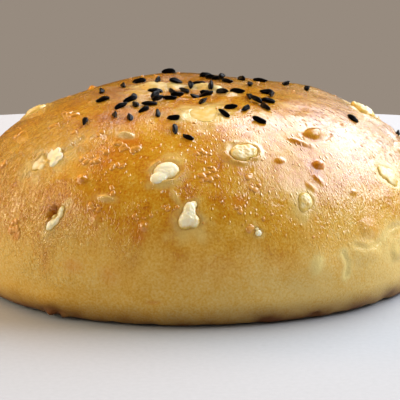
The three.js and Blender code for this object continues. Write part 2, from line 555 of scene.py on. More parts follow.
@dataclass(frozen=True)
class Crease:
    """A line where the crust folded or split: its course in degrees, and its sizes in millimetres."""

    course: tuple[tuple[float, float], ...]
    width: float
    depth: float
    pale: float = 0.0
    # the red share darkens the groove as painted shade
    blush: float = 0.0


@dataclass(frozen=True)
class CurdForm:
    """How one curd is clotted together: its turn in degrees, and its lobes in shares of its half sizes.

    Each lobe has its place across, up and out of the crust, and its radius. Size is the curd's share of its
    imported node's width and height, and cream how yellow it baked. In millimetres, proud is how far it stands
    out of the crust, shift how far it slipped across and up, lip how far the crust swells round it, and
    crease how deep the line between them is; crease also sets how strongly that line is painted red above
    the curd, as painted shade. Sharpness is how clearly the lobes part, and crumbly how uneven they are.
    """

    turn: float
    lobes: tuple[tuple[float, float, float, float], ...]
    proud: float
    size: tuple[float, float] = (1.0, 1.0)
    cream: float = 0.0
    shift: tuple[float, float] = (0.0, 0.0)
    lip: float = 0.15
    crease: float = 0.18
    sharpness: float = 9.0
    crumbly: float = 0.02

    def reach(self, rays: np.ndarray) -> np.ndarray:
        """Measures the clotted lobes from the curd's middle.

        Args:
            rays: Unit directions, one row each.

        Returns:
            How far the lobes reach along each ray.
        """
        total = np.zeros(len(rays))
        for place in self.lobes:
            centre, radius = np.array(place[:3]), place[3]
            along = rays @ centre
            inside = np.maximum(along**2 - centre @ centre + radius**2, 0.0)
            total += np.exp(self.sharpness * np.where(inside > 0, along + np.sqrt(inside), 0.0))
        return np.log(total) / self.sharpness

    def spread(self) -> tuple[float, float]:
        """The furthest that the lobes reach across and up."""
        turns = np.linspace(0, 2 * math.pi, 360)
        ring = np.stack([np.cos(turns), np.sin(turns), np.zeros_like(turns)], 1)
        reached = np.abs(ring * self.reach(ring)[:, None]).max(0)
        return float(reached[0]), float(reached[1])

    def outline_share(self, across: np.ndarray, up: np.ndarray) -> np.ndarray:
        """Tells where places lie against the curd's outline.

        Args:
            across: Offset from the curd's middle, in shares of its half width.
            up: The same up the flank.

        Returns:
            0 in the curd's middle and 1 on its outline.
        """
        wide, tall = self.spread()
        u, v = across * wide / self.size[0], up * tall / self.size[1]
        distance = np.maximum(np.hypot(u, v), 1e-6)
        return distance / self.reach(np.stack([u / distance, v / distance, np.zeros_like(u)], 1))


@dataclass(frozen=True)
class Socket:
    """The hollow that holds a curd, found from the curd's own node, with its measures in metres."""

    node: str
    form: CurdForm
    centre: np.ndarray
    across: np.ndarray
    upward: np.ndarray
    outward: np.ndarray
    half: np.ndarray
    thickness: float = 6 * MM
    outside: float = 9.0

    def share(self, points: np.ndarray) -> np.ndarray:
        """Tells where points lie against the curd's outline.

        Args:
            points: The points, one row each.

        Returns:
            0 in the curd's middle, 1 on its outline, and the value of outside far away.
        """
        offset = points - self.centre
        u = (offset @ self.across - self.form.shift[0] * MM) / self.half[0]
        v = (offset @ self.upward - self.form.shift[1] * MM) / self.half[1]
        beside = np.abs(offset @ self.outward) < self.thickness
        return np.where(beside, self.form.outline_share(u, v), self.outside)


SWELLS = (
    (125, 64, 15, 0.7), (20, 46, 9, 0.6), (-60, 0, 7, 0.7), (-43, -3, 9, 0.8), (-114, 36, 6, 0.5),
    (-47, 34, 7, 0.6), (-125, -12, 5, 0.6), (70, 12, 10, 0.8), (150, 5, 9, 0.7), (-90, 62, 13, -0.5),
    (165, 47, 10, -0.4), (60, 62, 12, -0.3),
)  # azimuth, elevation and half angle in degrees, and rise in millimetres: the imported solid's own swells

SPOTS = (
    # pale bulges of the crown, where cheese lies just under the crust
    Spot(-141, 62, 7.0, 3.6, 0.6, turn=25, pale=0.45),
    Spot(-147, 70, 8.5, 4.2, 1.0, turn=20, pale=1.0),
    Spot(-133, 75, 6.0, 4.4, 0.8, pale=1.0),
    Spot(-82, 77, 6.5, 4.0, 0.7, pale=1.0),
    Spot(-68, 72.5, 6.5, 3.6, 1.0, turn=-20, pale=0.9),
    Spot(-60, 65, 4.0, 3.2, 0.4, pale=0.5),
    Spot(-86.3, 47.5, 10.0, 7.6, 0.15, pale=0.95),
    # puffed blisters down the left front
    Spot(-114.3, 35.3, 3.6, 1.7, 0.9, pale=0.8, blush=0.2),
    Spot(-120.4, 20.6, 2.3, 2.0, 0.8, blush=0.5),
    Spot(-102, 10.4, 1.6, 1.9, 0.7, blush=0.4),
    Spot(-114, 11, 1.5, 2.4, 0.4, pale=0.1, blush=0.2),
    Spot(-112.5, 16.7, 3.6, 1.5, 0.5, pale=0.5, blush=0.2),
    # the tear beside a curd, and the clots in the split above it
    Spot(-125.7, 12.0, 1.3, 3.2, -1.7, turn=-22, blush=0.6, round=0.7),
    Spot(-138.2, 19.3, 1.4, 1.6, -0.5, blush=0.3),
    Spot(-124.5, 31, 7.0, 5.0, 0.5, turn=35),
    # cheese pressed under the crust below the oval curd, and the pale fold beside the next
    Spot(-98.5, 21.2, 4.4, 2.6, 0.4, pale=0.6),
    Spot(-95, 17.8, 1.2, 3.6, 0.5, turn=30, pale=0.5),
    # lumps in the sheen on the right shoulder
    Spot(-46.6, 33.8, 6.0, 3.0, 0.8, pale=0.1, blush=0.15, round=1.0),
    Spot(-54.2, 31.3, 5.5, 1.6, 0.55, turn=-32, blush=0.25, round=1.0),
    Spot(-53.6, 24.2, 2.4, 2.2, 1.0, blush=0.5, round=0.8),
    Spot(-64.6, 26.7, 2.2, 1.6, 0.6, blush=0.4),
    Spot(-29.8, 33.7, 1.8, 1.3, 0.5, blush=0.4),
    Spot(-47, 15.8, 1.6, 1.3, 0.5, blush=0.2),
    Spot(-58.4, 18.6, 1.2, 3.0, 0.35, turn=30, blush=0.3),
    Spot(-55.5, 20.4, 1.2, 3.6, 0.5, turn=30, blush=0.2),
    # the lower right, folded over cheese
    Spot(-60.9, 0.7, 2.6, 4.2, 0.25, turn=-15, pale=0.9, round=2.0),
    Spot(-47, 1.8, 7.5, 5.5, 0.5, turn=-5, pale=0.3, round=1.1),
    Spot(-45, 6.8, 5.0, 4.5, 0.3, blush=0.15),
    Spot(-35, 1, 6.5, 6.0, 0.7, pale=0.45, round=1.1),
    # the foot
    Spot(-127.5, -13.2, 3.0, 2.0, 0.9, pale=0.7),
    Spot(-124.5, -13.6, 2.6, 1.4, 0.7, pale=0.5),
    Spot(-100, -7.3, 3.6, 0.9, -0.3, blush=0.3),
    Spot(-57.7, -13.6, 2.0, 1.5, -0.9, blush=0.4),
    # the sides and back, of the same kinds
    Spot(140, 40, 3.4, 1.8, 0.8, blush=0.4),
    Spot(118, 26, 2.3, 2.0, 0.8, blush=0.5),
    Spot(100, 50, 3.6, 1.8, 0.7, pale=0.3, blush=0.3),
    Spot(80, 24, 1.6, 2.2, 0.7, blush=0.4),
    Spot(62, 40, 2.4, 1.8, 0.9, blush=0.5),
    Spot(35, 27, 2.2, 1.8, 0.7, blush=0.4),
    Spot(25, 5, 5.5, 6.5, 0.8, pale=0.4, round=0.7),
    Spot(110, 2, 6.0, 7.0, 0.8, pale=0.3, round=0.7),
    Spot(-170, 20, 2.2, 1.8, 0.8, blush=0.5),
    Spot(-165, 2, 5.0, 6.0, 0.7, pale=0.3, round=0.8),
    Spot(-10, 22, 2.2, 2.0, 0.8, blush=0.4),
    Spot(-8, -2, 5.0, 6.5, 0.8, pale=0.3, round=0.7),
    Spot(160, 12, 3.0, 1.8, 0.6, pale=0.6),
)

STAINS = (
    Spot(-103.4, 8.8, 3.0, 3.6, 0, blush=0.4),
    Spot(-126.5, 0.7, 2.2, 6.0, 0, blush=0.22),
    Spot(-119, 0, 4.4, 3.0, 0, blush=0.3),
    Spot(-110, -1.2, 4.0, 4.0, 0, blush=0.25),
    Spot(-79, 16.3, 4.0, 3.0, 0, blush=0.5),
    Spot(-112, 33.5, 6.0, 3.0, 0, blush=0.7),
    Spot(-135.5, 5.2, 2.4, 2.6, 0, blush=0.55),
    Spot(6, 22, 24, 14, 0.7),
    Spot(-126, 43, 14, 9, 0, blush=0.3),
    Spot(-118, 27.5, 9, 7, 0, blush=0.35),
)  # patches of stronger baking on an even crust, and one broad rise of the right flank

CREASES = (
    # the split up the left front
    Crease(((-137, 21.5), (-134.5, 25.5), (-131, 28.5), (-128.5, 32.5)), 1.6, 0.5, pale=0.4),
    # the fold across the crown, which seeds fell into
    Crease(
        ((-125, 71.5), (-108, 66), (-99.5, 63.5), (-91, 63.5), (-83, 66), (-77.5, 68)), 0.9, 0.6, blush=0.2
    ),
    # the folds at the lower right
    Crease(((-53.6, 2.2), (-52.4, 0.0), (-52.6, -3.0)), 0.8, 0.34, pale=1.0),
    Crease(((-50, 3.6), (-46, 2.0), (-42, 3.2), (-38.5, 5.4), (-34, 5.8)), 0.9, 0.22, pale=0.6),
    # under the lump in the sheen, its groove reddened as painted shade
    Crease(((-51.5, 34), (-49.5, 31.6), (-45.5, 30.9), (-41.5, 32)), 0.8, 0.3, blush=0.5),
    # round the back
    Crease(((125, 30), (120, 33), (112, 33.5), (106, 37)), 1.0, 0.7, pale=0.7),
)


@dataclass
class Relief:
    """How far the crust rises, in metres, and how it is tinted, with the random fields that vary both."""

    points: np.ndarray
    broad: np.ndarray = field(init=False)
    lumps: np.ndarray = field(init=False)
    fine: np.ndarray = field(init=False)
    wander: np.ndarray = field(init=False)
    rise: np.ndarray = field(init=False)
    pale: np.ndarray = field(init=False)
    blush: np.ndarray = field(init=False)

    def __post_init__(self) -> None:
        """Draws the random fields, from broad lumps to fine ones, and the rise that they make alone."""
        self.broad = rough_field(self.points, 17 * MM)
        self.lumps = rough_field(self.points, 6 * MM, 3, 7.3)
        self.fine = rough_field(self.points, 1.9 * MM, 2, 3.1)
        self.wander = rough_field(self.points, 2.4 * MM, 2, 11.7)
        self.rise = (0.3 * self.broad + 0.1 * self.lumps + 0.028 * self.fine) * MM
        self.pale = np.zeros(len(self.points))
        self.blush = np.zeros(len(self.points))

    def tint(self, pale: np.ndarray, blush: np.ndarray, where: np.ndarray | slice = slice(None)) -> None:
        """Lays tints over the crust, where the stronger one shows."""
        self.pale[where] = np.maximum(self.pale[where], pale)
        self.blush[where] = np.maximum(self.blush[where], blush)


@dataclass
class Bun:
    """The baked dough with its base, bulges, creases and the hollows that hold the curds."""

    finish: Crust
    width: float = 100 * MM
    depth: float = 97 * MM
    height: float = 42 * MM
    girth_height: float = 12 * MM
    base_share: float = 0.9
    dome_power: float = 2.26
    crown_lean: float = -0.5 * MM
    side_rise: float = 0.015
    three_lobe: float = 0.017
    lobe_turn: float = math.radians(-15)
    rim_power: float = 1.3
    fineness: int = 124
    finer_towards: tuple[float, float, float] = (0.0, -0.3, 0.2)
    rim_angle: float = math.radians(140)
    flow_girth: float = 42 * MM
    flow_slope: float = 38 * MM
    fold: float = 1.6 * MM
    fold_height: float = 0.022 * MM
    base_gap: float = 0.02 * MM
    shift: np.ndarray = field(default_factory=lambda: np.zeros(3))
    piece: bpy.types.Object | None = None
    points: np.ndarray | None = None
    normals: np.ndarray | None = None
    arc: np.ndarray | None = None
    sockets: list[Socket] = field(default_factory=list)
    masks: dict[str, np.ndarray] = field(default_factory=dict)

    def build(self, forms: dict[str, CurdForm]) -> None:
        """Builds the bun, dresses it and ties it to the frame.

        Args:
            forms: Curd node to the curd's form.
        """
        directions, faces = self._sphere()
        points, self.arc = self._form(directions)
        low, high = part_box("bun")
        middle = (points.min(0) + points.max(0)) / 2
        self.shift = np.array([(low.x + high.x) / 2 - middle[0], (low.y + high.y) / 2 - middle[1], 0.0])
        self.piece = mesh_object("bun_crust", points + self.shift, faces)
        self._read_surface()
        self.sockets = [self._socket(node, form) for node, form in forms.items()]
        self.masks = self._shape()
        self._read_surface()
        for name, values in self.masks.items():
            store(self.piece.data, name, values)
        self.piece.data.materials.append(self.finish.material())
        finish_piece(self.piece, Slot.CRUST, ["bun"])

    @property
    def heart(self) -> np.ndarray:
        """The point that directions to spots and creases start from."""
        return self.shift + np.array([0, 0, self.girth_height])

    def _sphere(self) -> tuple[np.ndarray, np.ndarray]:
        """Makes an even round grid from the six sides of a cube.

        Returns:
            Unit directions, and the four vertex numbers of each face.
        """
        count = self.fineness
        steps = np.arange(count + 1)
        i, j = np.meshgrid(steps, steps, indexing="ij")
        corner = (i[:-1, :-1] * (count + 1) + j[:-1, :-1]).ravel()
        ring = np.stack([corner, corner + count + 1, corner + count + 2, corner + 1], 1)
        rows, faces = [], []
        for axis in range(3):
            for side in (0, count):
                grid = np.empty((count + 1, count + 1, 3), int)
                grid[..., axis] = side
                grid[..., (axis + 1) % 3] = i
                grid[..., (axis + 2) % 3] = j
                rows.append(grid.reshape(-1, 3))
                faces.append((ring if side else ring[:, ::-1]) + (len(rows) - 1) * (count + 1) ** 2)
        lattice, number = np.unique(np.concatenate(rows), axis=0, return_inverse=True)
        cube = np.tan((lattice / count * 2 - 1) * (math.pi / 4))
        drawn = unit(unit(cube) + np.array(self.finer_towards))
        return drawn, number.reshape(-1)[np.concatenate(faces)]

    def _section(self) -> tuple[np.ndarray, np.ndarray, np.ndarray, int]:
        """Draws half the bun's section from its crown to the middle of its base.

        Returns:
            Radius as a share of the girth's, height, length along the section, and the rim point's number.
        """
        a = np.linspace(0, math.pi / 2, 400)
        power = 2 / self.dome_power
        dome_radius = np.sin(a) ** power
        dome_height = self.girth_height + (self.height - self.girth_height) * np.cos(a) ** power
        flank_radius = self.base_share + (1 - self.base_share) * np.cos(a[1:])
        flank_height = self.girth_height * (1 - np.sin(a[1:]) ** self.rim_power)
        base_radius = np.linspace(self.base_share, 0, 100)[1:]
        radius = np.concatenate([dome_radius, flank_radius, base_radius])
        height = np.concatenate([dome_height, flank_height, np.zeros_like(base_radius)])
        steps = np.hypot(np.diff(radius * self.width / 2), np.diff(height))
        along = np.concatenate([[0], np.cumsum(steps)])
        return radius, height, along, len(dome_radius) + len(flank_radius) - 1

    def _form(self, directions: np.ndarray) -> tuple[np.ndarray, np.ndarray]:
        """Places a round grid on the bun's plain form, with its swells.

        Args:
            directions: Unit directions of the grid.

        Returns:
            The points, and how far each is from the crown (0) by the rim (1) to the base's middle (2).
        """
        radius, height, along, rim = self._section()
        polar = np.arccos(np.clip(directions[:, 2], -1, 1))
        around = np.arctan2(directions[:, 1], directions[:, 0])
        above = np.clip(polar / self.rim_angle, 0, 1)
        below = np.clip((polar - self.rim_angle) / (math.pi - self.rim_angle), 0, 1)
        length = above * along[rim] + below * (along[-1] - along[rim])
        r = np.interp(length, along, radius)
        z = np.interp(length, along, height)
        outline = 1 + self.three_lobe * np.cos(3 * (around - self.lobe_turn))
        x_share = r * np.cos(around)
        x = x_share * outline * self.width / 2 + self.crown_lean * z / self.height
        y = r * np.sin(around) * outline * self.depth / 2
        points = np.stack([x, y, z * (1 + self.side_rise * x_share)], 1)
        outward = unit(points - np.array([0, 0, self.girth_height]))
        clear_of_base = smooth(0, self.girth_height / 2, z)
        for azimuth, elevation, spread, rise in SWELLS:
            angle = np.arccos(np.clip(outward @ direction(azimuth, elevation), -1, 1))
            share = bell(angle, 0.0, math.radians(spread)) * clear_of_base
            points += outward * (rise * MM * share)[:, None]
        return points, above + below

    def _read_surface(self) -> None:
        """Reads the mesh's vertices and normals back."""
        self.piece.data.update()
        self.points = vertex_vectors(self.piece.data)
        self.normals = vertex_vectors(self.piece.data, "normal")

    def nearest(self, azimuth: float, elevation: float) -> int:
        """The number of the vertex nearest to a direction from the heart, in degrees."""
        return int((unit(self.points - self.heart) @ direction(azimuth, elevation)).argmax())

    def axes_at(self, number: int, turn: float = 0.0) -> tuple[np.ndarray, np.ndarray, np.ndarray]:
        """Finds the crust's own axes at a vertex.

        Args:
            number: The vertex.
            turn: How far the first axis is turned from level, in radians.

        Returns:
            An axis that is level when turn is 0, one up the flank, and the normal.
        """
        normal = self.normals[number] / np.linalg.norm(self.normals[number])
        level = np.cross([0, 0, 1.0], normal)
        if np.linalg.norm(level) < 0.05:
            level = np.array([1.0, 0, 0]) - normal * normal[0]
        level /= np.linalg.norm(level)
        across = level * math.cos(turn) + np.cross(normal, level) * math.sin(turn)
        return across, np.cross(normal, across), normal

    def _socket(self, node: str, form: CurdForm) -> Socket:
        """Measures a packed curd against the crust where it sits.

        Args:
            node: The curd's node.
            form: The curd's form.

        Returns:
            Its socket.
        """
        cloud = node_points(node)
        centre = (cloud.min(0) + cloud.max(0)) / 2
        number = int(np.linalg.norm(self.points - centre, axis=1).argmin())
        axes = self.axes_at(number, math.radians(form.turn))
        spans = [cloud @ axis for axis in axes]
        half = np.array([(s.max() - s.min()) / 2 for s in spans])
        middle = sum(axis * (s.max() + s.min()) / 2 for axis, s in zip(axes, spans))
        return Socket(node, form, middle, *axes, half)

    def _shape(self) -> dict[str, np.ndarray]:
        """Raises and sinks the crust over all its features.

        Returns:
            The masks that the finish reads, one value for each vertex.
        """
        relief = Relief(self.points)
        flow = self._flow()
        for spot in SPOTS + STAINS:
            self._add_spot(relief, spot)
        for crease in CREASES:
            self._add_crease(relief, crease)
        for socket in self.sockets:
            self._add_socket(relief, socket)
        height_share = np.clip(self.points[:, 2] / self.height, 0, 1)
        points = self._raised(relief, flow, height_share)
        self.piece.data.vertices.foreach_set("co", points.astype(np.float32).ravel())
        store(self.piece.data, "flow", flow)
        streaks = rough_field(flow * [1, 1, 0.45], 4.5 * MM, 3, 8.1)
        washed = height_share + 0.07 * relief.broad + 0.1 * streaks
        return self._masks(relief, height_share, washed, points[:, 0] / (0.5 * self.width))

    def _add_spot(self, relief: Relief, spot: Spot) -> None:
        """Raises or sinks the crust over a spot, and tints it and its skirt.

        Args:
            relief: What is added to.
            spot: The spot.
        """
        u, v, near = self._local(spot)
        rho = np.hypot(u, v) * (1 + 0.3 * relief.wander[near])
        dome = np.clip(1 - rho**2, 0, 1) ** spot.round
        relief.rise[near] += spot.rise * MM * dome * (1 + 0.35 * relief.fine[near])
        # the red tint in a ring round a rise, and inside a hollow, is partly painted shade; a flat patch is
        # redder baking
        if spot.rise > 0:
            skirt = smooth(1.9, 0.5, rho) * smooth(-0.2, 0.7, rho)
        else:
            skirt = smooth(1.6, 0.2, rho)
        relief.tint(spot.pale * smooth(1.8, 0.4, rho), spot.blush * skirt, near)

    def _add_crease(self, relief: Relief, crease: Crease) -> None:
        """Sinks a groove between low lips.

        Args:
            relief: What is added to.
            crease: The line of the groove.
        """
        width = crease.width * MM
        distance = self._distance_to_course(crease) * (1 + 0.25 * relief.wander)
        groove = bell(distance, 0.0, width / 2)
        relief.rise += (0.2 * bell(distance, width, 0.6 * width) - groove) * crease.depth * MM
        # the red tint along the groove is painted shade
        relief.tint(crease.pale * smooth(2.6 * width, 0.2 * MM, distance), crease.blush * groove)

    def _add_socket(self, relief: Relief, socket: Socket) -> None:
        """Sinks the crust under a curd, and swells and pales it round the curd.

        Args:
            relief: What is added to.
            socket: The curd's socket.
        """
        form = socket.form
        rho = socket.share(self.points) * (1 + 0.08 * relief.wander)
        below = smooth(0.3, -0.8, (self.points - socket.centre) @ socket.upward / socket.half[1])
        edge = 0.86 + 0.6 * form.crease
        sunk = (0.35 + 3 * min(form.crease, 0.15)) * smooth(edge, edge - 0.18, rho)
        line = form.crease * (1 - 0.8 * below) * bell(rho, 1.0, 0.12)
        uneven = 0.4 + 0.4 * below + 1.3 * relief.lumps + 0.4 * relief.fine
        lip = form.lip * uneven * bell(rho * (1 + 0.16 * relief.lumps), 1.28, 0.2)
        relief.rise += (lip - sunk - line) * MM
        halo = 0.6 * smooth(2.2, 0.9, rho + 0.5 * relief.wander + 0.5 * relief.lumps)
        # a red line along the curd's outline, left off below it, is painted shade; the pale halo round it is
        # the crust's own colour
        relief.tint(halo, 2.4 * form.crease * (1 - below) * bell(rho, 1.02, 0.14))

    def _raised(self, relief: Relief, flow: np.ndarray, height_share: np.ndarray) -> np.ndarray:
        """Adds the folds of the flanks and the base's unevenness, and moves the crust out.

        Args:
            relief: All the features.
            flow: Coordinates that run down the slope.
            height_share: Height as a share of the bun's.

        Returns:
            The crust's new points.
        """
        folds = 1 - 2.5 * np.abs(rough_field(flow, self.fold, 2, 2.9))
        folded = smooth(0.22, 0.45, height_share) * (1 - 0.6 * smooth(0.6, 0.85, height_share))
        on_base = self._on_base()
        rise = (relief.rise + self.fold_height * folds * folded) * (1 - on_base)
        rise += on_base * (0.25 * relief.lumps + 0.2 * relief.broad - 0.3) * MM
        points = self.points + self.normals * rise[:, None]
        rim = smooth(0.9, 0.99, self.arc) * (1 - smooth(1.0, 1.08, self.arc))
        lift = np.clip(rough_field(self.points * [1, 1, 0], 9 * MM, 3, 5.9), 0, 1)
        points[:, 2] = np.maximum(points[:, 2] + (0.25 + 1.1 * lift) * MM * rim, self.base_gap)
        return points

    def _masks(self, relief: Relief, height_share: np.ndarray, washed: np.ndarray,
               aside: np.ndarray) -> dict[str, np.ndarray]:
        """Works out where the crust is baked, glazed, wrinkled and tinted.

        Args:
            relief: All the features.
            height_share: Height as a share of the bun's.
            washed: The same, uneven, for how far down the egg ran.
            aside: Place from -1 at the left to 1 at the right.

        Returns:
            The masks by name.
        """
        broad, lumps = relief.broad, relief.lumps
        off_base = 1 - self._on_base()
        # the crust browns with its egg and its height, and is a darker orange at the left than at the right
        bake = 0.12 + 0.52 * smooth(0.16, 0.62, washed) + 0.08 * smooth(0.6, 1.0, height_share)
        bake += 0.07 * lumps
        sided = 0.16 * smooth(0.2, -0.25, aside) - 0.07 * smooth(0.1, 0.7, aside)
        bake += sided * smooth(0.75, 0.5, height_share)
        bake += 0.06 * smooth(0.25, -0.2, aside) * smooth(0.5, 0.75, height_share)
        glaze = smooth(0.22, 0.6, washed)
        # the left of the crown lies smooth, almost without beads
        bald = 0.75 * smooth(0.8, 0.92, height_share) * smooth(0.35, -0.05, aside)
        # the egg wrinkled most on the left flank, down almost to the foot
        lowest = 0.2 - 0.12 * smooth(0.2, -0.5, aside)
        wrinkled = smooth(0, 0.2, height_share - lowest) * (1 - 0.7 * smooth(0.75, 0.95, height_share))
        leathery = 0.95 * smooth(-0.25, 0.3, -aside - 0.35 + 0.3 * broad)
        wrinkled *= 0.1 + leathery + 0.18 * smooth(0.3, 0.7, aside)
        return {
            "bake": np.clip(bake, 0, 1),
            "pale": np.clip(relief.pale * (0.85 + 0.2 * lumps), 0, 1) * off_base,
            # red tint, partly painted shade in grooves, hollows, round rises and along curds
            "blush": np.clip(relief.blush, 0, 1) * off_base,
            "glaze": np.clip(glaze * (1 - 0.3 * relief.pale), 0, 1),
            "beaded": glaze * (1 - bald),
            "wrinkle": np.clip(0.18 + 1.65 * wrinkled * (1 + 0.6 * broad + 0.5 * lumps), 0, 3) * off_base,
            # the dark base colour, carried up the foot as painted contact shade
            "underside_and_foot_shade": np.clip(smooth(0.9, 0.99, self.arc) * (0.9 + 0.4 * lumps), 0, 1),
        }

    def _on_base(self) -> np.ndarray:
        """1 for each vertex of the base, and 0 above its rim."""
        return smooth(0.995, 1.02, self.arc)

    def _flow(self) -> np.ndarray:
        """Coordinates in metres that run round the bun and are drawn out down its slope, a row a vertex."""
        offset = self.points - self.heart
        around = np.arctan2(offset[:, 1], offset[:, 0])
        girth = self.flow_girth * smooth(0.0, 0.25, np.hypot(offset[:, 0], offset[:, 1]) / (self.width / 2))
        return np.stack([np.cos(around) * girth, np.sin(around) * girth, self.arc * self.flow_slope], 1)

    def _local(self, spot: Spot, reach: float = 3.0) -> tuple[np.ndarray, np.ndarray, np.ndarray]:
        """Measures the crust round a spot in the spot's own axes.

        Args:
            spot: The spot.
            reach: How many half sizes away the crust still counts.

        Returns:
            Both offsets as shares of the half sizes, and the numbers of the vertices that they belong to.
        """
        number = self.nearest(spot.azimuth, spot.elevation)
        across, up, _ = self.axes_at(number, math.radians(spot.turn))
        offset = self.points - self.points[number]
        near = np.nonzero(np.linalg.norm(offset, axis=1) < reach * max(spot.wide, spot.tall) * MM / 2)[0]
        return offset[near] @ across / (spot.wide * MM / 2), offset[near] @ up / (spot.tall * MM / 2), near

    def _distance_to_course(self, crease: Crease) -> np.ndarray:
        """Measures how far the crust is from a crease's line.

        Args:
            crease: The crease.

        Returns:
            A distance for every vertex.
        """
        stops = [self.points[self.nearest(*stop)] for stop in crease.course]
        best = np.full(len(self.points), 1.0)
        for start, end in zip(stops, stops[1:]):
            run = end - start
            share = np.clip((self.points - start) @ run / (run @ run), 0, 1)
            best = np.minimum(best, np.linalg.norm(self.points - start - share[:, None] * run, axis=1))
        return best


# Cheese


CURD_FORMS = {
    "curd_front": CurdForm(
        3,
        ((-0.36, -0.45, 0, 0.52), (0.4, -0.48, 0, 0.46), (0, -0.15, 0.1, 0.62), (0.1, 0.42, 0.2, 0.42),
         (0.42, 0.62, 0.1, 0.27)),
        1.3, (1.06, 1.06), lip=0.05, sharpness=7,
    ),
    "curd_front_oval": CurdForm(
        20, ((0.16, 0.12, 0, 0.82), (-0.4, -0.34, 0.45, 0.5)), 0.85, (1.04, 0.92), lip=0.3, sharpness=24
    ),
    "curd_left_torn": CurdForm(
        -22,
        ((0.3, 0.72, 0, 0.28), (0.5, 0.4, 0, 0.3), (0.5, 0, 0, 0.32), (0.35, -0.35, 0, 0.38),
         (0.1, -0.65, 0, 0.42)),
        0.5, (0.95, 0.95), 0.1, sharpness=7, crumbly=0.05,
    ),
    "curd_left_crack": CurdForm(
        28,
        ((-0.72, -0.1, 0, 0.28), (-0.42, 0.15, 0, 0.26), (-0.3, -0.25, 0, 0.24), (0, 0.05, -0.1, 0.2),
         (0.26, 0.2, 0.15, 0.28), (0.5, -0.18, 0.15, 0.28), (0.6, 0.3, 0.2, 0.24), (0.84, 0.0, 0.15, 0.22)),
        0.35, (1.2, 1.3), 0.02, (1.0, 0.5), lip=0.2, crease=0.1, sharpness=15, crumbly=0.15,
    ),
    "curd_ringed": CurdForm(
        0, ((-0.25, 0, 0, 0.75), (0.4, 0.1, 0.1, 0.6)), 0.8, (1.1, 0.95), 0.3, lip=0.4, crumbly=0.05
    ),
    "curd_right_small": CurdForm(
        0, ((0, 0.1, 0, 0.8), (-0.4, -0.4, 0, 0.5)), 0.7, (1.2, 1.1), 0.38, lip=0.12, crease=0.0
    ),
    "curd_crown": CurdForm(
        5, ((-0.45, 0, 0, 0.6), (0.1, -0.15, 0, 0.7), (0.5, 0.25, 0, 0.5)),
        0.1, (0.95, 1.2), 0.52, lip=0.12, crease=0.0, crumbly=0.05,
    ),
    "curd_crumb": CurdForm(10, ((0, -0.25, 0, 0.7), (-0.1, 0.6, 0, 0.4)), 0.5, (0.7, 0.6), lip=0.05),
    "curd_right_shoulder": CurdForm(
        0, ((-0.2, 0, 0, 0.7), (0.4, 0.4, 0.1, 0.5), (0.5, -0.4, 0, 0.4)),
        1.4, (1.1, 1.05), 0.26, lip=0.4, crease=0.0, crumbly=0.05,
    ),
    "curd_left_shoulder": CurdForm(
        0, ((0.2, 0.1, 0, 0.75), (-0.5, -0.2, 0, 0.45)),
        0.9, (1.1, 1.05), 0.36, lip=0.4, crease=0.0, crumbly=0.05,
    ),
    "curd_right_edge": CurdForm(
        -30, ((-0.5, 0.1, 0, 0.5), (0.2, 0, 0.1, 0.62), (0.6, -0.3, 0, 0.35)),
        0.6, (1.1, 1.05), 0.36, (0.0, 1.0), lip=0.1, crease=0.1,
    ),
    "curd_back_left": CurdForm(
        35, ((-0.3, 0.1, 0, 0.6), (0.3, -0.3, 0, 0.5), (0.5, 0.2, 0, 0.3)), 0.5, cream=0.2, crumbly=0.06
    ),
    "curd_back": CurdForm(
        -15, ((-0.1, -0.3, 0, 0.6), (0.2, 0.4, 0.1, 0.45), (-0.4, 0.3, 0, 0.3)), 0.6, cream=0.1, crumbly=0.05
    ),
    "curd_back_right": CurdForm(
        10, ((0, -0.4, 0, 0.5), (0.1, 0.35, 0, 0.5), (0.4, -0.1, 0, 0.3)), 0.6, cream=0.15, crumbly=0.05
    ),
}


